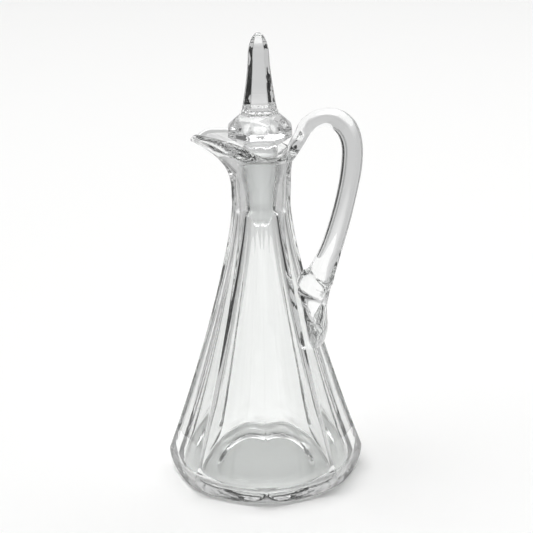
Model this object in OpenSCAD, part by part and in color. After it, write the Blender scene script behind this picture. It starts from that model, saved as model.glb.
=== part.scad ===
// Pressed-glass cruet for oil or vinegar: an eight-panelled bottle with a drawn
// pouring lip, a rod handle fused to its rim and shoulder, and a ground stopper.
// The origin is the centre of the standing foot, +Z is up and the handle is at +X.

/* [Body] */
// Width of the body across opposite arrises at the heel
body_w = 84; // [76:1:101]
// Height of the widest line above the table
heel_h = 9; // [7:0.5:12]
// Radius lost between the widest line and the round standing foot
heel_inset = 5; // [4:0.5:8]
// Radius lost by the sides for each unit of height, just above the heel
side_slope = 0.367; // [0.3:0.005:0.42]
// Thickness of the body wall at the middle of a panel, just above the heel
wall_t = 3; // [2.4:0.1:4]
// Thickness of the glass under the cavity
floor_t = 3.8; // [3:0.1:7]
// Inner corner radius between the floor and the wall of the cavity
floor_round = 5; // [3:0.5:10]
// Width of the flat ring the bottle stands on
stand_w = 11; // [4:0.5:14]
// Depth of the hollow under the base
recess_deep = 1; // [0.6:0.1:1.6]

/* [Neck and mouth] */
// Width of the neck across opposite arrises at its narrowest place
neck_w = 24.4; // [23:0.2:29.4]
// Height of the narrowest place of the neck
neck_h = 120.5; // [100:0.5:145]
// Thickness of the wall just below the ground socket
neck_wall = 4.5; // [3.4:0.1:5.4]
// Height of the lowest point of the rim above the narrowest place
rim_rise = 21.9; // [19:0.1:27]
// Outer radius of the rim at its sides
rim_r = 14; // [13.2:0.1:16]
// Reach of the spout tip from the axis
spout_reach = 30.3; // [26:0.1:37]
// How far the sides of the spout stand above the lowest point of the rim
spout_rise = 5.6; // [3:0.1:7]
// How far the pouring tip dips below the sides of the spout
tip_dip = 3; // [1:0.1:4]
// How far the back of the rim stands above its lowest point
back_rise = 2.6; // [1:0.1:4]
// Thickness of the lip
lip_t = 2.8; // [2:0.1:3.2]

/* [Stopper] */
// Diameter of the ground plug at the top of the socket
plug_d = 14; // [11.7:0.1:16.8]
// Diameter lost by the plug and the socket for each unit of length
plug_taper = 0.2; // [0.12:0.01:0.24]
// Length of the ground cone below the top of the socket
plug_len = 22; // [18:0.5:27]
// Length of the round nose below the ground cone
nose_len = 8; // [5:0.5:10]
// Gap between the ground plug and its socket, measured square to the axis
seat_gap = 0.08; // [0.05:0.01:0.2]
// Width of the octagonal collar across its flats
collar_w = 26; // [22:0.2:26.4]
// Height of the upright sides of the collar
collar_h = 3.4; // [2:0.1:6]
// Height of the bevel on top of the collar
bevel_h = 5.4; // [3:0.1:7]
// Height of the tapering underside of the collar
under_h = 4.2; // [2:0.1:5]
// Height of the collar's lower edge above the highest line of the spout
collar_lift = 0.6; // [0.4:0.1:3]
// Width of the hexagonal finial across its arrises, at its foot
finial_w = 15; // [12:0.1:17]
// Width of the finial across its arrises, where the point begins
shoulder_w = 8.8; // [6:0.1:10]
// Height of the finial above the collar
finial_h = 32.8; // [25:0.1:40]
// Height of the blunt point at the top of the finial
point_h = 10; // [4:0.1:12]

/* [Handle] */
// Thickness of the handle rod
rod_d = 8.3; // [7:0.1:10]
// Reach of the rod's centreline from the axis
handle_reach = 39.6; // [36:0.1:47.6]
// Height of the top of the rod's centreline above the lowest point of the rim
handle_rise = 15.5; // [13:0.1:20]
// Height of the lower end of the fused foot of the handle
foot_low = 59; // [50:0.5:66]
// Length of the fused foot along the body
foot_len = 27; // [22:0.5:32]
// Width of the flattened foot
foot_w = 15; // [11:0.1:16]

/* [Hidden] */

panels = 8;
around = 48;
half_panel = 180 / panels;
flat = cos(half_panel);

body_r = body_w / 2;
neck_r = neck_w / 2;
foot_r = body_r - heel_inset;
foot_edge = 1;
rim_h = neck_h + rim_rise;
flare_h = neck_h + 6;

// The side of the body is one cubic curve from the heel to the neck.
side_start = [body_r, heel_h];
side_end = [neck_r, neck_h];
side_low = 0.466 * (neck_h - heel_h);
side_high = 0.124 * (neck_h - heel_h);
side_rings = 12;
function mix(a, b, t) = a + (b - a) * t;
function ease(t) = let (u = min(1, max(0, t))) u * u * (3 - 2 * u);
function cubic(a, b, c, d, t) =
    pow(1 - t, 3) * a + 3 * pow(1 - t, 2) * t * b + 3 * (1 - t) * t * t * c + pow(t, 3) * d;
function side(t) = cubic(
    side_start,
    side_start + side_low * [-side_slope, 1],
    side_end - side_high * [0, 1],
    side_end, t);
// Curve parameter of the side at height z, by halving
function side_t(z, low = 0, high = 1, left = 24) =
    let (mid = (low + high) / 2)
    left == 0 ? mid :
    side(mid)[1] < z ? side_t(z, mid, high, left - 1) : side_t(z, low, mid, left - 1);
function side_r(z) = side(side_t(z))[0];

// Radius of a ring at angle a: 0 is a circle and 1 is the panelled outline
function ring_r(r, a, sharp) =
    let (off = abs((a + half_panel) % (2 * half_panel) - half_panel))
    mix(r, r * flat / cos(off), sharp);
function ring(r, z, sharp) =
    [for (i = [0 : around - 1])
        let (a = i * 360 / around, q = ring_r(r, a, sharp))
        [q * cos(a), q * sin(a), z]];

// The rim is a circle drawn out into a spout at -X.
spout_sharp = 2.2;
spout_blunt = 1.6;
spout_start = 0.2;
spout_span = 0.65;
tip_start = 0.92;
back_end = 0.12;
function beak(a) = 1 - pow(1 - pow(max(0, -cos(a)), spout_sharp), spout_blunt);
function rim_outline(a) =
    [rim_r * cos(a) - (spout_reach - rim_r) * beak(a), rim_r * sin(a)];
function rim_z(a) =
    let (s = (1 - cos(a)) / 2)
    rim_h + spout_rise * ease((s - spout_start) / spout_span)
        - tip_dip * pow(max(0, (s - tip_start) / (1 - tip_start)), 2)
        + back_rise * pow(max(0, 1 - s / back_end), 2);
// Point set in from the rim's outline, square to it, and dropped below its top
function rim_point(a, inset, drop) =
    let (
        along = rim_outline(a + 1) - rim_outline(a - 1),
        out = [along[1], -along[0]] / norm(along),
        p = rim_outline(a) - inset * out)
    [p[0], p[1], rim_z(a) - drop];
function rim_ring(inset, drop) =
    [for (i = [0 : around - 1]) rim_point(i * 360 / around, inset, drop)];

// The outside of the flare is a cubic curve at each angle, from neck to rim.
flare_rings = 7;
function flare_point(a, t) =
    let (
        sharp = 1 - ease(t * 1.6),
        q = ring_r(neck_r + 0.2, a, sharp),
        low = [q * cos(a), q * sin(a), flare_h],
        top = rim_point(a, 0, lip_t / 2),
        rise = top[2] - flare_h,
        out = [top[0] - low[0], top[1] - low[1], 0])
    cubic(low, low + [0, 0, 0.45 * rise], low + 0.35 * out + [0, 0, 0.73 * rise], top, t);
function flare_ring(t) =
    [for (i = [0 : around - 1]) flare_point(i * 360 / around, t)];

// The funnel runs from the rim down to a level ledge round the ground socket.
socket_r = plug_d / 2;
ledge = 0.8;
throat_h = rim_h - lip_t;
funnel_rings = 5;
function funnel_point(a, t) =
    let (
        top = rim_point(a, lip_t, lip_t / 2),
        low = [(socket_r + ledge) * cos(a), (socket_r + ledge) * sin(a), throat_h],
        drop = top[2] - throat_h,
        back = [low[0] - top[0], low[1] - top[1], 0])
    cubic(top, top + 0.4 * back - [0, 0, 0.35 * drop],
        low - 0.35 * back + [0, 0, 0.15 * drop], low, t);
function funnel_ring(t) =
    [for (i = [0 : around - 1]) funnel_point(i * 360 / around, t)];

// The heel is round and the panels cut it, so their lower edges are arcs.
function heel_ring(r, z) =
    [for (i = [0 : around - 1])
        let (a = i * 360 / around, q = min(r, ring_r(body_r, a, 1)))
        [q * cos(a), q * sin(a), z]];
heel_rings = 6;
heel_list = [
    for (i = [0 : heel_rings - 1])
        let (a = 90 * i / heel_rings)
        heel_ring(mix(foot_r, body_r, sin(a)), foot_edge + (heel_h - foot_edge) * (1 - cos(a)))];
function side_ring(t) = ring(side(t)[0], side(t)[1], 1);
shell_rings = concat(
    [ring(foot_r - foot_edge, 0, 0)],
    heel_list,
    [for (i = [0 : side_rings]) side_ring(i / side_rings)],
    [for (i = [0 : flare_rings]) flare_ring(i / flare_rings)],
    [rim_ring(0.18 * lip_t, 0.16 * lip_t), rim_ring(0.5 * lip_t, 0), rim_ring(0.82 * lip_t, 0.16 * lip_t)],
    [for (i = [0 : funnel_rings]) funnel_ring(i / funnel_rings)]);

// Closed skin over a stack of rings, the first and the last ring being caps
module skin(rings) {
    n = len(rings[0]);
    last = len(rings) - 1;
    walls = [
        for (k = [0 : last - 1], i = [0 : n - 1])
            let (j = (i + 1) % n)
            each [
                [k * n + i, (k + 1) * n + i, (k + 1) * n + j],
                [k * n + i, (k + 1) * n + j, k * n + j]]];
    polyhedron(
        points = [for (r = rings) each r],
        faces = concat(
            [[for (i = [0 : n - 1]) i]],
            walls,
            [[for (i = [n - 1 : -1 : 0]) last * n + i]]));
}

// Inside of the bottle: floor, tapering wall, round shoulder and ground socket
cavity_over = 2;
bore_r = socket_r - plug_taper / 2 * plug_len;
bore_h = throat_h - plug_len;
wall_start = floor_t + floor_round;
wall_rings = 14;
wall_low = side_t(wall_start);
wall_high = side_t(bore_h - 4);
// Wall thickness at a share of the curved side, thicker towards the neck
function wall(t) = mix(wall_t, neck_wall, t);
function wall_r(z) = max(bore_r, side_r(z) * flat - wall(side_t(z)));
corner_r = wall_r(wall_start);
floor_dip = 0.4;
module cavity_outline() {
    corner = [
        for (a = [0 : 15 : 75])
            [corner_r - floor_round * (1 - sin(a)), wall_start - floor_round * cos(a)]];
    wall = [
        for (i = [0 : wall_rings])
            let (t = mix(wall_low, wall_high, i / wall_rings), p = side(t))
            [max(bore_r, p[0] * flat - wall(t)), p[1]]];
    polygon(concat(
        [[0, floor_t - floor_dip]],
        corner,
        wall,
        [[bore_r, bore_h],
         [socket_r, throat_h],
         [socket_r + plug_taper / 2 * cavity_over, throat_h + cavity_over],
         [0, throat_h + cavity_over]]));
}

module bottle() {
    color("lightcyan", 0.5)
    difference() {
        skin(shell_rings);
        rotate_extrude($fn = 96) cavity_outline();
        base_recess();
    }
}

// Shallow hollow with a sloping edge under the base
recess_r = foot_r - foot_edge - stand_w;
recess_slope = 4.5;
module base_recess() {
    rotate_extrude($fn = 96)
    polygon([
        [0, -1],
        [recess_r, -1],
        [recess_r, 0],
        [recess_r - recess_slope, recess_deep],
        [0, recess_deep]]);
}

// Handle: each station is [x, z, thickness in the plane, width across the plane]
rod_top = rim_h + handle_rise;
foot_top = foot_low + foot_len;
function panel_x(z) = side_r(z) * flat;
root_x = rim_r + 4;
root_z = rim_h + 7.35;
loop_x = handle_reach - root_x;
loop_z = rod_top - root_z;
drop_z = root_z - foot_top;
grip = 1;
// Stations of the loop, as shares of its width and height, then of the straight run
loop_at = [[0.11, 0.49], [0.305, 0.85], [0.515, 1], [0.725, 0.9], [0.905, 0.46], [0.995, -0.28]];
loop_d = [0.78, 0.86, 0.89, 1, 1.06, 1.02];
run_at = [[0.01, 0.165], [0.08, 0.32], [0.21, 0.517], [0.4, 0.74], [0.61, 0.925]];
run_d = [1.02, 0.97, 0.99, 1.1, 1.42];
// The foot lies on the panel and sinks into it by grip
function foot_station(share, proud, w) =
    let (z = mix(foot_top, foot_low, share), x = panel_x(z))
    [x + (proud - grip) / 2, z, proud + grip, w];
stations = concat(
    [[root_x - 5, root_z - 10, 0.36 * rod_d, 0.9 * rod_d],
     [root_x - 2.4, root_z - 4.2, 0.6 * rod_d, 1.15 * rod_d],
     [root_x + 0.2, root_z + 0.5, 0.65 * rod_d, rod_d]],
    [for (i = [0 : len(loop_at) - 1])
        [root_x + loop_at[i][0] * loop_x, root_z + loop_at[i][1] * loop_z, loop_d[i] * rod_d, rod_d]],
    [for (i = [0 : len(run_at) - 1])
        [mix(handle_reach, panel_x(foot_top), run_at[i][0]), root_z - run_at[i][1] * drop_z,
         run_d[i] * rod_d, rod_d]],
    [foot_station(0, 13, mix(rod_d, foot_w, 0.45)),
     foot_station(0.36, 9.8, mix(rod_d, foot_w, 0.9)),
     foot_station(0.7, 7, foot_w),
     foot_station(0.92, 3.8, 0.8 * foot_w),
     foot_station(1, 0.6, 0.4 * foot_w)]);
steps = 3;
// Smooth curve through the stations
function spline(p, q, r, s, t) =
    0.5 * (2 * q + (r - p) * t + (2 * p - 5 * q + 4 * r - s) * t * t + (3 * q - p - 3 * r + s) * t * t * t);
function station(i) = stations[min(len(stations) - 1, max(0, i))];
route = [
    for (i = [0 : len(stations) - 2], k = [0 : steps - 1])
        spline(station(i - 1), station(i), station(i + 1), station(i + 2), k / steps),
    station(len(stations) - 1)];
rod_around = 24;
function rod_ring(k) =
    let (
        here = route[k],
        before = route[max(0, k - 1)],
        after = route[min(len(route) - 1, k + 1)],
        run = [after[0] - before[0], after[1] - before[1]],
        out = [-run[1], run[0]] / norm(run))
    [for (i = [0 : rod_around - 1])
        let (a = i * 360 / rod_around, u = here[2] / 2 * cos(a), v = here[3] / 2 * sin(a))
        [here[0] + u * out[0], -v, here[1] + u * out[1]]];

module handle() {
    color("azure", 0.6)
    skin([for (k = [0 : len(route) - 1]) rod_ring(k)]);
}

// Stopper: plug, throat, collar and finial, from the bottom up
collar_z = rim_h + spout_rise + collar_lift;
finial_z = collar_z + collar_h + bevel_h;
turn_finial = 22.5;
plug_top_r = socket_r - seat_gap;
plug_low_r = bore_r - seat_gap;
throat_r = plug_top_r + 0.2;
module plug() {
    nose = [
        for (a = [0 : 15 : 75])
            [plug_low_r * sin(a), bore_h + 1 - (nose_len + 1) * cos(a)]];
    rotate_extrude($fn = 96)
    polygon(concat(
        nose,
        [[plug_low_r + plug_taper / 2, bore_h + 1],
         [plug_top_r, throat_h],
         [throat_r, throat_h + 0.6],
         [throat_r, collar_z + 0.5],
         [0, collar_z + 0.5]]));
}
// Collar: an octagonal plate with a bevelled top and a tapering underside
module collar() {
    hull() {
        translate([0, 0, collar_z])
        cylinder(d = collar_w / flat, h = collar_h, $fn = panels);
        translate([0, 0, finial_z - 0.3])
        cylinder(d = finial_w / flat, h = 0.3, $fn = panels);
        translate([0, 0, collar_z - under_h])
        cylinder(r = throat_r + 0.3, h = 0.5, $fn = panels);
    }
}
finial_sides = 6;
function finial_ring(r, z) =
    [for (i = [0 : finial_sides - 1])
        let (a = turn_finial + i * 360 / finial_sides)
        [r * cos(a), r * sin(a), z]];
point_rings = 4;
module finial() {
    shank = 4;
    skin(concat(
        [finial_ring(finial_w / 2, finial_z - 1)],
        [for (i = [0 : shank])
            let (t = i / shank, s = pow(1 - t, 1.35))
            finial_ring(mix(shoulder_w, finial_w, s) / 2, mix(finial_z, finial_z + finial_h - point_h, t))],
        [for (i = [1 : point_rings])
            let (a = 84 * i / point_rings)
            finial_ring(
                shoulder_w / 2 * (0.12 + 0.88 * cos(a)),
                finial_z + finial_h - point_h * (1 - sin(a) / sin(84)))]));
}

module stopper() {
    color("lightblue", 0.6)
    union() {
        plug();
        collar();
        finial();
    }
}

bottle();
handle();
stopper();
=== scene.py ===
import bpy
import numpy as np
from mathutils import Matrix, Vector


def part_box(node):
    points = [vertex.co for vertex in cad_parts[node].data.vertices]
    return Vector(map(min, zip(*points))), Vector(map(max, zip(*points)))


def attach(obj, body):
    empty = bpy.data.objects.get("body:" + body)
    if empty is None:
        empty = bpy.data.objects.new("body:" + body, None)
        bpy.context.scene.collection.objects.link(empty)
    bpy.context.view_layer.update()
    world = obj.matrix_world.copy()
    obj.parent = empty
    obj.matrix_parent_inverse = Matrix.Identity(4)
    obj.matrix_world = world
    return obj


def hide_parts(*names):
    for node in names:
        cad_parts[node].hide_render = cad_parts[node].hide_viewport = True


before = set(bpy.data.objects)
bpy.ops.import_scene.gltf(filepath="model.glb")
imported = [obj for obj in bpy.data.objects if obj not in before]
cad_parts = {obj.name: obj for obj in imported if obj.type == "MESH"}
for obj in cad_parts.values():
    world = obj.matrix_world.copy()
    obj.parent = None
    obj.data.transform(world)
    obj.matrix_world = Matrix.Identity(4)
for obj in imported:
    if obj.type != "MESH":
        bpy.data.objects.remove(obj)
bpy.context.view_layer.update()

MM = 0.001
PANELS = 8
HALF_PANEL = np.pi / PANELS
FLAT = np.cos(HALF_PANEL)

# ---------------------------------------------------------------- sizes from the frame
lo, hi = (np.array(corner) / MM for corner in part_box("bottle"))
handle_lo, handle_hi = (np.array(corner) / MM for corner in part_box("handle"))
stopper_lo, stopper_hi = (np.array(corner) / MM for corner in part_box("stopper"))

# outside and inside of the bottle
spout_rise = 5.6
body_r = hi[0] / FLAT
rim_h = hi[2] - spout_rise
rim_rise = 21.9
neck_h = rim_h - rim_rise
neck_r = 12.2
heel_h = 9.0
heel_inset = 5.0
foot_r = body_r - heel_inset
foot_edge = 1.0
side_slope = 0.367
wall_t = 3.0
neck_wall = 4.5
floor_t = 3.8
floor_round = 5.0
floor_dip = 0.4
stand_w = 11.0
recess_r = foot_r - foot_edge - stand_w
recess_deep = 1.0
recess_slope = 4.5

# rim, lip and spout
rim_r = 14.0
spout_reach = 30.3
tip_dip = 3.0
back_rise = 2.6
spout_sharp = 2.2
spout_blunt = 1.6
lip_t = 2.8
flare_h = neck_h + 6.0

# ground socket and the plug that sits in it
socket_r = 7.0
taper = 0.1
plug_len = 22.0
nose_len = 8.0
seat_gap = 0.08
throat_h = rim_h - lip_t
bore_h = throat_h - plug_len
bore_r = socket_r - taper * plug_len


# ---------------------------------------------------------------- curves
def mix(a, b, t):
    return a + (b - a) * t


def ease(t):
    u = np.clip(t, 0.0, 1.0)
    return u * u * (3 - 2 * u)


def cubic(a, b, c, d, t):
    return (1 - t) ** 3 * a + 3 * (1 - t) ** 2 * t * b + 3 * (1 - t) * t * t * c + t**3 * d


side_start = np.array([body_r, heel_h])
side_end = np.array([neck_r, neck_h])
side_low = 0.466 * (neck_h - heel_h)
side_high = 0.124 * (neck_h - heel_h)


def side(t):
    return cubic(
        side_start,
        side_start + side_low * np.array([-side_slope, 1.0]),
        side_end - side_high * np.array([0.0, 1.0]),
        side_end,
        t,
    )


SIDE_T = np.linspace(0, 1, 2001)
SIDE = np.array([side(t) for t in SIDE_T])


def side_r(z):
    return np.interp(z, SIDE[:, 1], SIDE[:, 0])


def side_t(z):
    return np.interp(z, SIDE[:, 1], SIDE_T)


PER_PANEL = 28
ARRIS_CRISP = 7.0


def panel_angles():
    """Angles round the bottle, closer together at the arrises."""
    found = []
    for k in range(PANELS):
        for i in range(PER_PANEL):
            t = 2 * i / PER_PANEL - 1
            off = HALF_PANEL * np.sign(t) * (1 - (1 - abs(t)) ** 2)
            found.append(2 * HALF_PANEL * k + off)
    return np.array(found)


ANGLE = panel_angles()


def many_sided(radius, angle, sides, turn, crisp):
    """Outline whose corners lie at radius; crisp sets how tight its arrises are."""
    total = np.zeros_like(angle)
    for k in range(sides):
        facing = np.cos(angle - turn - 2 * np.pi * k / sides)
        total += np.clip(facing, 0, None) ** crisp
    return radius * np.cos(np.pi / sides) / total ** (1 / crisp)


def level(r, angle, z):
    return np.stack([r * np.cos(angle), r * np.sin(angle), np.full_like(angle, z)], 1)


def circle(radius, z):
    return level(radius, ANGLE, z)


def panel_ring(radius, z):
    """Eight panels whose arrises lie at radius and are equally tight at every size."""
    return level(many_sided(radius, ANGLE, PANELS, 0.0, ARRIS_CRISP * radius), ANGLE, z)


def heel_ring(radius, z):
    """Round heel cut by the flat panels, with a soft edge where they meet."""
    flats = np.hypot(*panel_ring(body_r, z)[:, :2].T)
    soft = 12.0
    both = np.exp(-soft * (radius - body_r)) + np.exp(-soft * (flats - body_r))
    r = body_r - np.log(both) / soft
    return level(np.minimum(r, np.minimum(radius, flats)), ANGLE, z)


# ---------------------------------------------------------------- mesh building
def mesh_piece(name, rings, materials, pick=None):
    """Closed skin over a stack of rings; a ring of one point is a pole."""
    points, starts, faces = [], [], []
    for r in rings:
        starts.append(len(points))
        points.extend(r)
    for k in range(len(rings) - 1):
        low, high = len(rings[k]), len(rings[k + 1])
        n = max(low, high)
        for i in range(n):
            j = (i + 1) % n
            if low == 1:
                faces.append((starts[k], starts[k + 1] + j, starts[k + 1] + i))
            elif high == 1:
                faces.append((starts[k] + i, starts[k] + j, starts[k + 1]))
            else:
                faces.append((starts[k] + i, starts[k] + j, starts[k + 1] + j, starts[k + 1] + i))
    mesh = bpy.data.meshes.new(name)
    mesh.from_pydata([tuple(np.array(p) * MM) for p in points], [], faces)
    mesh.validate()
    mesh.update()
    piece = bpy.data.objects.new(name, mesh)
    bpy.context.scene.collection.objects.link(piece)
    for material in materials:
        mesh.materials.append(material)
    for face in mesh.polygons:
        face.use_smooth = True
        if pick:
            face.material_index = pick(face.center / MM)
    return piece


# ---------------------------------------------------------------- materials
def glass(name, tint, waviness, ripple_scale, roughness):
    """Clear glass whose surface waves by waviness, in metres."""
    material = bpy.data.materials.new(name)
    material.use_nodes = True
    nodes = material.node_tree.nodes
    links = material.node_tree.links
    shader = nodes["Principled BSDF"]
    shader.inputs["Base Color"].default_value = (*tint, 1.0)
    shader.inputs["IOR"].default_value = 1.51
    shader.inputs["Transmission Weight"].default_value = 1.0
    shader.inputs["Roughness"].default_value = roughness
    place = nodes.new("ShaderNodeTexCoord")
    ripple = nodes.new("ShaderNodeTexNoise")
    ripple.inputs["Scale"].default_value = ripple_scale
    ripple.inputs["Detail"].default_value = 2.0
    bump = nodes.new("ShaderNodeBump")
    bump.inputs["Strength"].default_value = 1.0
    bump.inputs["Distance"].default_value = waviness
    links.new(place.outputs["Object"], ripple.inputs["Vector"])
    links.new(ripple.outputs["Fac"], bump.inputs["Height"])
    links.new(bump.outputs["Normal"], shader.inputs["Normal"])
    return material


clear = glass("pressed_glass", (0.965, 0.972, 0.968), 0.00012, 60.0, 0.0)
drawn = glass("drawn_glass", (0.985, 0.99, 0.99), 0.0002, 45.0, 0.0)
cut = glass("stopper_glass", (0.98, 0.985, 0.985), 0.00008, 140.0, 0.0)
# painted shade: the darker tint in the hollow of the base stands in for the shadowed table seen
# through it; the slight roughness is a matte surface
base_painted_shade = glass("base_glass_painted_shade", (0.88, 0.89, 0.885), 0.00006, 400.0, 0.06)
ground = glass("ground_glass", (0.93, 0.94, 0.935), 0.00002, 2500.0, 0.42)


# ---------------------------------------------------------------- bottle
def beak(a):
    """How far toward the spout's tip the rim is drawn out at each angle, 0 to 1."""
    return 1 - (1 - np.clip(-np.cos(a), 0, None) ** spout_sharp) ** spout_blunt


def rim_outline(a):
    return np.stack([rim_r * np.cos(a) - (spout_reach - rim_r) * beak(a), rim_r * np.sin(a)], 1)


def rim_z(a):
    s = (1 - np.cos(a)) / 2
    rise = spout_rise * ease((s - 0.2) / 0.65)
    dip = tip_dip * np.clip((s - 0.92) / 0.08, 0, None) ** 2
    back = back_rise * np.clip(1 - s / 0.12, 0, None) ** 2
    return rim_h + rise - dip + back


def rim_ring(inset, drop):
    along = rim_outline(ANGLE + 0.01) - rim_outline(ANGLE - 0.01)
    out = np.stack([along[:, 1], -along[:, 0]], 1) / np.hypot(*along.T)[:, None]
    flat_point = rim_outline(ANGLE) - inset * out
    return np.concatenate([flat_point, (rim_z(ANGLE) - drop)[:, None]], 1)


def flare_ring(t):
    """From the eight-sided neck to the lip, losing the panels on the way."""
    sharp = 1 - ease(t * 1.6)
    low = panel_ring(neck_r + 0.2, flare_h)
    low[:, :2] = mix(circle(neck_r + 0.2, 0)[:, :2], low[:, :2], sharp)
    top = rim_ring(0, lip_t / 2)
    rise = (top[:, 2:3] - flare_h) * np.array([[0, 0, 1]])
    out = (top - low) * np.array([[1, 1, 0]])
    return cubic(low, low + 0.45 * rise, low + 0.35 * out + 0.73 * rise, top, t)


def funnel_ring(t):
    """From the lip down to the mouth of the socket."""
    top = rim_ring(lip_t, lip_t / 2)
    low = circle(socket_r + 0.8, throat_h)
    drop = (top[:, 2:3] - throat_h) * np.array([[0, 0, 1]])
    back = (low - top) * np.array([[1, 1, 0]])
    return cubic(top, top + 0.4 * back - 0.35 * drop, low - 0.35 * back + 0.15 * drop, low, t)


def lip_rings():
    found = []
    for a in np.linspace(0, np.pi, 9)[1:-1]:
        found.append(rim_ring(lip_t / 2 * (1 - np.cos(a)), lip_t / 2 * (1 - np.sin(a))))
    return found


def wall_r(z):
    return np.maximum(bore_r, side_r(z) * FLAT - mix(wall_t, neck_wall, side_t(z)))


def cavity_rings():
    found = []
    start = floor_t + floor_round
    for z in np.linspace(throat_h, bore_h, 12):
        found.append(circle(bore_r + taper * (z - bore_h), z))
    for z in np.linspace(bore_h - 1.5, start, 60):
        found.append(circle(wall_r(z), z))
    corner = wall_r(start)
    for a in np.radians(np.linspace(90, 0, 12)[1:]):
        found.append(circle(corner - floor_round * (1 - np.sin(a)), start - floor_round * np.cos(a)))
    flat_r = corner - floor_round
    for s in (0.8, 0.6, 0.4, 0.2, 0.1):
        found.append(circle(flat_r * s, floor_t - floor_dip * (1 - s * s)))
    found.append(np.array([[0, 0, floor_t - floor_dip]]))
    return found


def make_bottle():
    rings = [np.array([[0, 0, recess_deep]])]
    for r in (6, 12, 18):
        rings.append(circle(r, recess_deep))
    for s in np.linspace(0, 1, 14):
        lift = 1 - mix(s, ease(s), 0.35)
        rings.append(circle(recess_r - recess_slope * (1 - s), recess_deep * lift))
    rings += [circle(recess_r + 5, 0), circle(foot_r - foot_edge - 0.3, 0)]
    rings.append(circle(foot_r - 0.3, foot_edge * 0.3))
    steps = 30
    for i in range(steps):
        a = np.pi / 2 * i / steps
        heel_z = foot_edge + (heel_h - foot_edge) * (1 - np.cos(a))
        rings.append(heel_ring(mix(foot_r, body_r, np.sin(a)), heel_z))
    for t in np.linspace(0, 1, 60):
        r, z = side(t)
        rings.append(panel_ring(r, z))
    for t in np.linspace(0, 1, 26):
        rings.append(flare_ring(t))
    rings += lip_rings()
    for t in np.linspace(0, 1, 18):
        rings.append(funnel_ring(t))
    rings += cavity_rings()

    def pick(c):
        """Glass tinted darker in the hollow of the base as painted shade of the shadowed table under
        it, ground glass in the socket.
        """
        r = np.hypot(c[0], c[1])
        in_socket = bore_h + 1.0 < c[2] < throat_h and r < socket_r + 0.2
        # faces in the hollow of the base get the darker tint that paints the shade under the bottle
        if c[2] < recess_deep + 0.3 and r < recess_r:
            return 2
        return 1 if in_socket else 0

    return mesh_piece("bottle_glass", rings, [clear, ground, base_painted_shade], pick)


# ---------------------------------------------------------------- handle
rod_d = 8.3
handle_reach = handle_hi[0] - 4.29
rod_top = handle_hi[2] - 3.8
foot_low = handle_lo[2] + 0.5
foot_top = foot_low + 27
foot_w = handle_hi[1] - handle_lo[1]
root = np.array([rim_r + 4.0, rim_h + 7.35])
loop = np.array([handle_reach, rod_top]) - root
drop = root[1] - foot_top


def panel_x(z):
    return side_r(z) * FLAT


def handle_stations():
    """Places along the rod: x, z, thickness in the plane of the loop, width across it."""
    found = [
        (root[0] - 5, root[1] - 10.6, 0.3 * rod_d, rod_d),
        (root[0] - 2.4, root[1] - 4.2, 0.62 * rod_d, 1.35 * rod_d),
        (root[0] + 0.2, root[1] + 0.5, 0.66 * rod_d, 1.15 * rod_d),
    ]
    shares = [(0.11, 0.49, 0.78), (0.305, 0.85, 0.86), (0.515, 1, 0.89), (0.725, 0.9, 1)]
    shares += [(0.905, 0.46, 1.06), (0.995, -0.28, 1.02)]
    for u, v, d in shares:
        found.append((root[0] + u * loop[0], root[1] + v * loop[1], d * rod_d, rod_d))
    runs = [(0.01, 0.165, 1.02), (0.08, 0.32, 0.97), (0.21, 0.517, 0.99)]
    runs += [(0.4, 0.74, 1.1), (0.61, 0.925, 1.42)]
    for u, v, d in runs:
        found.append((mix(handle_reach, panel_x(foot_top), u), root[1] - v * drop, d * rod_d, rod_d))
    feet = [(0, 13, mix(rod_d, foot_w, 0.45)), (0.36, 9.8, mix(rod_d, foot_w, 0.9)), (0.7, 7, foot_w)]
    feet += [(0.92, 3.8, 0.8 * foot_w), (1, 0.6, 0.4 * foot_w)]
    for share, proud, w in feet:
        z = mix(foot_top, foot_low, share)
        found.append((panel_x(z) + (proud - 1) / 2, z, proud + 1, w))
    return np.array(found)


def smooth_route(points, steps):
    """Smooth curve through every station."""
    found = []
    last = len(points) - 1
    for i in range(last):
        p, q, r, s = (points[min(last, max(0, i + k))] for k in (-1, 0, 1, 2))
        bend, twist = 2 * p - 5 * q + 4 * r - s, 3 * q - p - 3 * r + s
        for t in np.arange(steps) / steps:
            found.append(0.5 * (2 * q + (r - p) * t + bend * t**2 + twist * t**3))
    found.append(points[last])
    return np.array(found)


def back_outline():
    """Outside of the neck, flare and lip at the back, where the handle starts."""
    points = [(neck_r * FLAT, neck_h)]
    here = int(np.argmin(np.abs(ANGLE)))
    points += [tuple(flare_ring(t)[here, [0, 2]]) for t in np.linspace(0, 1, 16)]
    top = points[-1]
    for a in np.radians((20, 40, 60, 80)):
        points.append((top[0] - lip_t / 2 * (1 - np.cos(a)), top[1] + lip_t / 2 * np.sin(a)))
    points.append((0.0, points[-1][1] + 0.02))
    return np.array(points)


BACK = back_outline()


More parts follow.
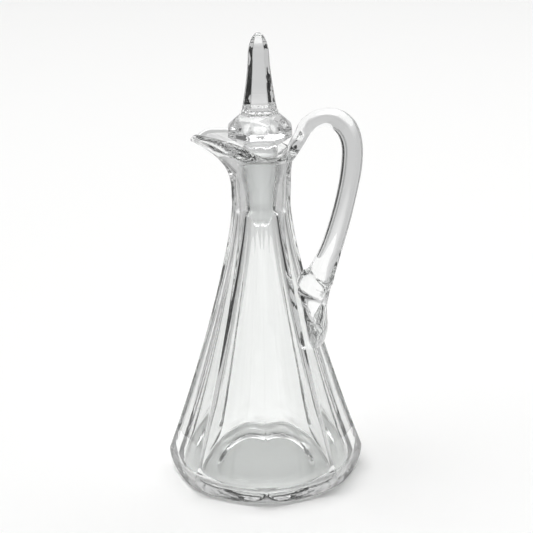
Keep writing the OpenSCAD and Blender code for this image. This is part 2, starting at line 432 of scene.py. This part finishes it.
def make_handle():
    route = smooth_route(handle_stations(), 14)
    around = np.linspace(0, 2 * np.pi, 48, endpoint=False)
    rings = []
    for k, (x, z, thick, wide) in enumerate(route):
        before, after = route[max(0, k - 1)], route[min(len(route) - 1, k + 1)]
        run = (after - before)[:2]
        out = np.array([-run[1], run[0]]) / np.linalg.norm(run)
        u, v = thick / 2 * np.cos(around), wide / 2 * np.sin(around)
        # the soft rod was pressed over its own foot: a fold that dips on both sides
        side_on = np.degrees(np.arccos(np.clip(np.cos(around), -1, 1)))
        fold = foot_top + 2 - 15 * np.minimum(side_on / 70, (180 - side_on) / 110)
        below = fold - (z + u * out[1])
        dent = 0.17 * ease(below / 1.2) * (1 - ease((below - 2) / 16))
        swell = 0.05 * np.exp(-((below + 1.5) / 1.6) ** 2)
        u, v = u * (1 - dent + swell), v * (1 - dent + swell)
        px, py, pz = x + u * out[0], v, z + u * out[1]
        # below, the glass stops just under the panel; above, just under the flare and lip
        face = panel_x(pz) - 0.2
        px = np.where(pz < foot_top + 8, np.maximum(px, face), px)
        skin = np.interp(pz, BACK[:, 1], BACK[:, 0]) - 0.12
        px = np.where(pz > neck_h, np.maximum(px, np.sqrt(np.maximum(skin**2 - py**2, 0))), px)
        rings.append(np.stack([px, py, pz], 1)[::-1])
    rings = [rings[0].mean(0, keepdims=True)] + rings + [rings[-1].mean(0, keepdims=True)]
    return mesh_piece("handle_rod", rings, [drawn])


# ---------------------------------------------------------------- stopper
collar_z = rim_h + spout_rise + 0.6
collar_r = stopper_hi[0] - 0.05
collar_h = 3.4
bevel_h = 5.4
under_h = 4.2
finial_z = collar_z + collar_h + bevel_h
finial_sides = 6
finial_turn = HALF_PANEL + np.pi / finial_sides
finial_low_r = 7.5
finial_top_r = 4.4
top_z = stopper_hi[2]
point_h = 10.0


def make_stopper():
    angle = np.linspace(0, 2 * np.pi, 144, endpoint=False)

    def turned(r, z):
        return level(r, angle, z)

    def eight_sided(r, z):
        return level(many_sided(r, angle, 8, np.pi / 8, 140.0), angle, z)

    def six_sided(r, z, crisp):
        return level(many_sided(r, angle, finial_sides, finial_turn, crisp), angle, z)

    # ground plug with its round nose
    rings = [np.array([[0, 0, bore_h - nose_len]])]
    low_r = bore_r - seat_gap
    for a in np.radians(np.linspace(0, 85, 10)[1:]):
        rings.append(turned(low_r * np.sin(a), bore_h + 1 - (nose_len + 1) * np.cos(a)))
    for z in np.linspace(bore_h + 1.2, throat_h, 16):
        rings.append(turned(low_r + taper * (z - bore_h), z))
    throat = socket_r - seat_gap + 0.2
    rings += [turned(throat, throat_h + 0.6), turned(throat, throat_h + 2.4)]
    rings += [turned(throat + 0.1, collar_z - under_h - 0.3)]
    rings += [turned(throat + 0.5, collar_z - under_h + 0.1)]
    # eight-sided collar: tapering underside, upright side, bevel
    for s in (0.12, 0.3, 0.5, 0.7, 0.9):
        rings.append(eight_sided(mix(throat + 0.3, collar_r - 0.3, s), collar_z - under_h * (1 - s)))
    rings.append(eight_sided(collar_r - 0.3, collar_z + 0.05))
    for z in np.linspace(collar_z + 0.35, collar_z + collar_h - 0.35, 6):
        rings.append(eight_sided(collar_r, z))
    rings.append(eight_sided(collar_r - 0.2, collar_z + collar_h))
    for s in (0.06, 0.25, 0.5, 0.75, 0.93):
        rings.append(eight_sided(mix(collar_r, 8.0, s), collar_z + collar_h + s * bevel_h))
    # a moulded bead with small scallops runs round the foot of the finial
    scallop = 0.18 * np.cos(18 * (angle - finial_turn))[:, None] * [1, 1, 0]
    for out, up in ((0.1, 0.0), (0.35, 0.5), (0.4, 0.9), (0.1, 1.4), (-0.35, 1.8), (-0.45, 2.2)):
        bead = six_sided(finial_low_r + out, finial_z + up, 60)
        rings.append(bead * (1 + scallop / finial_low_r * (1 if 0.2 < up < 1.5 else 0)))
    # six-sided finial with a rounded point
    for t in np.linspace(0.11, 1, 27):
        r = mix(finial_top_r, finial_low_r, (1 - t) ** 1.35)
        rings.append(six_sided(r, mix(finial_z, top_z - point_h, t), 55))
    end = np.radians(84)
    for a in np.linspace(0, end, 14)[1:]:
        r = finial_top_r * (0.1 + 0.9 * np.cos(a) ** 1.2)
        z = top_z - point_h * (1 - np.sin(a) / np.sin(end))
        rings.append(six_sided(r, z, 45))
    rings.append(np.array([[0, 0, top_z]]))

    def pick(c):
        """Ground glass on the side of the plug and the shoulder of its nose."""
        r = np.hypot(c[0], c[1])
        return 1 if bore_h - 5 < c[2] < throat_h + 0.5 and r > 2.5 else 0

    return mesh_piece("stopper_solid", rings, [cut, ground], pick)


bottle = make_bottle()
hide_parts("bottle")
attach(bottle, "bottle")
handle = make_handle()
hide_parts("handle")
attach(handle, "bottle")
stopper = make_stopper()
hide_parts("stopper")
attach(stopper, "stopper")


# ---------------------------------------------------------------- stage, light and camera
GAP = 0.00005  # metres between the floor and the glass


def make_floor():
    mesh = bpy.data.meshes.new("studio_floor")
    size = 4.0
    corners = [(-size, -size, -GAP), (size, -size, -GAP), (size, size, -GAP), (-size, size, -GAP)]
    mesh.from_pydata(corners, [], [(0, 1, 2, 3)])
    floor = bpy.data.objects.new("studio_floor", mesh)
    bpy.context.scene.collection.objects.link(floor)
    paper = bpy.data.materials.new("floor_paper")
    paper.use_nodes = True
    shader = paper.node_tree.nodes["Principled BSDF"]
    shader.inputs["Base Color"].default_value = (0.9, 0.9, 0.895, 1)
    shader.inputs["Roughness"].default_value = 0.9
    shader.inputs["Specular IOR Level"].default_value = 0.1
    mesh.materials.append(paper)


make_floor()

# the photo's camera: millimetres, radians and pixels
CAMERA_TURN = np.radians(22.5)
CAMERA_AWAY = 580.0
CAMERA_UP = 292.0
CAMERA_PITCH = np.radians(19.05)
CAMERA_YAW = np.radians(0.17)
CAMERA_ROLL = np.radians(-1.0)
FOCAL_PIXELS = 1463.0
PICTURE = 533.0


def make_camera():
    turn = Matrix.Rotation(CAMERA_TURN, 3, "Z")
    across = np.array([np.sin(CAMERA_YAW), np.cos(CAMERA_YAW)]) * np.cos(CAMERA_PITCH)
    forward = Vector((*across, -np.sin(CAMERA_PITCH)))
    right = Vector((np.cos(CAMERA_YAW), -np.sin(CAMERA_YAW), 0))
    up = right.cross(forward)
    roll = Matrix.Rotation(-CAMERA_ROLL, 3, forward)
    axes = [turn @ v for v in (roll @ right, roll @ up, -forward)]
    place = turn @ Vector((0, -CAMERA_AWAY * MM, CAMERA_UP * MM))
    data = bpy.data.cameras.new("camera")
    data.sensor_width = 36.0
    data.lens = FOCAL_PIXELS / PICTURE * data.sensor_width
    data.clip_start = 0.01
    camera = bpy.data.objects.new("camera", data)
    matrix = Matrix([[axes[c][r] for c in range(3)] for r in range(3)]).to_4x4()
    matrix.translation = place
    camera.matrix_world = matrix
    bpy.context.scene.collection.objects.link(camera)
    bpy.context.scene.camera = camera


make_camera()

scene = bpy.context.scene
scene.view_settings.view_transform = "Standard"
scene.cycles.max_bounces = 24
scene.cycles.transmission_bounces = 24
scene.cycles.glossy_bounces = 12
scene.cycles.blur_glossy = 0.0


def glow_cloth(name, low, high, rise):
    """Even light with a vertical fade, low at the table and high at the given rise."""
    cloth = bpy.data.materials.new(name)
    cloth.use_nodes = True
    nodes, links = cloth.node_tree.nodes, cloth.node_tree.links
    nodes.clear()
    out = nodes.new("ShaderNodeOutputMaterial")
    glow = nodes.new("ShaderNodeEmission")
    place = nodes.new("ShaderNodeTexCoord")
    split = nodes.new("ShaderNodeSeparateXYZ")
    ramp = nodes.new("ShaderNodeValToRGB")
    ramp.color_ramp.elements[0].position = 0.0
    ramp.color_ramp.elements[0].color = (low, low, low, 1)
    ramp.color_ramp.elements[1].position = rise
    ramp.color_ramp.elements[1].color = (high, high, high, 1)
    links.new(place.outputs["Object"], split.inputs[0])
    links.new(split.outputs["Z"], ramp.inputs["Fac"])
    links.new(ramp.outputs["Color"], glow.inputs["Color"])
    links.new(glow.outputs[0], out.inputs["Surface"])
    return cloth


# dark bars in the tent, in degrees to each side of the direction away from the camera
FLAGS = ((36.5, 38.0), (40.5, 42.5), (45.0, 47.0), (55.0, 80.0), (100.0, 125.0), (134.0, 141.0))


def make_tent():
    """Oval cloth round the table with dark bars; it only shows inside the glass."""
    away, beside, height, sides = 0.36, 0.12, 0.25, 360
    points, faces, flags = [], [], []
    for i in range(sides):
        turn = 2 * np.pi * i / sides
        r = 1 / np.hypot(np.sin(turn) / beside, np.cos(turn) / away)
        a = turn + np.pi / 2 + CAMERA_TURN
        x, y = r * np.cos(a), r * np.sin(a)
        points += [(x, y, 0.0), (x, y, height)]
        j = (i + 1) % sides
        faces.append((2 * i, 2 * j, 2 * j + 1, 2 * i + 1))
        off = abs((np.degrees(turn) + 180) % 360 - 180)
        flags.append(any(low < off < high for low, high in FLAGS))
    mesh = bpy.data.meshes.new("tent_wall")
    mesh.from_pydata(points, [], faces)
    tent = bpy.data.objects.new("tent_wall", mesh)
    bpy.context.scene.collection.objects.link(tent)
    mesh.materials.append(glow_cloth("tent_cloth", 0.8, 0.6, 0.04))
    mesh.materials.append(glow_cloth("tent_flag", 0.02, 0.02, 0.04))
    for face, dark in zip(mesh.polygons, flags):
        face.material_index = int(dark)
    tent.visible_camera = False
    tent.visible_diffuse = False
    tent.visible_shadow = False


make_tent()


def make_softbox():
    data = bpy.data.lights.new("softbox", "AREA")
    data.shape = "RECTANGLE"
    data.size = 1.2
    data.size_y = 1.2
    data.energy = 4.0
    box = bpy.data.objects.new("softbox", data)
    box.location = (0, 0.3, 1.4)
    direction = Vector((0, 0, 0)) - box.location
    box.rotation_euler = direction.to_track_quat("-Z", "Y").to_euler()
    bpy.context.scene.collection.objects.link(box)


def make_wide_sun():
    """Very wide sun that lights the whole table evenly from the upper left."""
    data = bpy.data.lights.new("wide_sun", "SUN")
    data.energy = 1.66
    data.angle = np.radians(50)
    sun = bpy.data.objects.new("wide_sun", data)
    turn = Matrix.Rotation(CAMERA_TURN, 3, "Z")
    toward = turn @ Vector((0.35, 0.12, -1.0))
    sun.rotation_euler = toward.to_track_quat("-Z", "Y").to_euler()
    bpy.context.scene.collection.objects.link(sun)


make_wide_sun()
make_softbox()


def make_world():
    """Bright beyond the table and dark behind the camera."""
    world = bpy.data.worlds.new("studio")
    world.use_nodes = True
    nodes, links = world.node_tree.nodes, world.node_tree.links
    back = nodes["Background"]
    way = nodes.new("ShaderNodeTexCoord")
    facing = nodes.new("ShaderNodeVectorMath")
    facing.operation = "DOT_PRODUCT"
    facing.inputs[1].default_value = (-np.sin(CAMERA_TURN), np.cos(CAMERA_TURN), 0)
    ramp = nodes.new("ShaderNodeValToRGB")
    ramp.color_ramp.elements[0].position = 0.3
    ramp.color_ramp.elements[0].color = (0.03, 0.03, 0.03, 1)
    ramp.color_ramp.elements[1].position = 0.8
    ramp.color_ramp.elements[1].color = (1.0, 1.0, 1.0, 1)
    half = nodes.new("ShaderNodeMath")
    half.operation = "MULTIPLY_ADD"
    half.inputs[1].default_value = 0.5
    half.inputs[2].default_value = 0.5
    links.new(way.outputs["Generated"], facing.inputs[0])
    links.new(facing.outputs["Value"], half.inputs[0])
    links.new(half.outputs[0], ramp.inputs["Fac"])
    links.new(ramp.outputs["Color"], back.inputs["Color"])
    back.inputs["Strength"].default_value = 1.0
    bpy.context.scene.world = world


make_world()
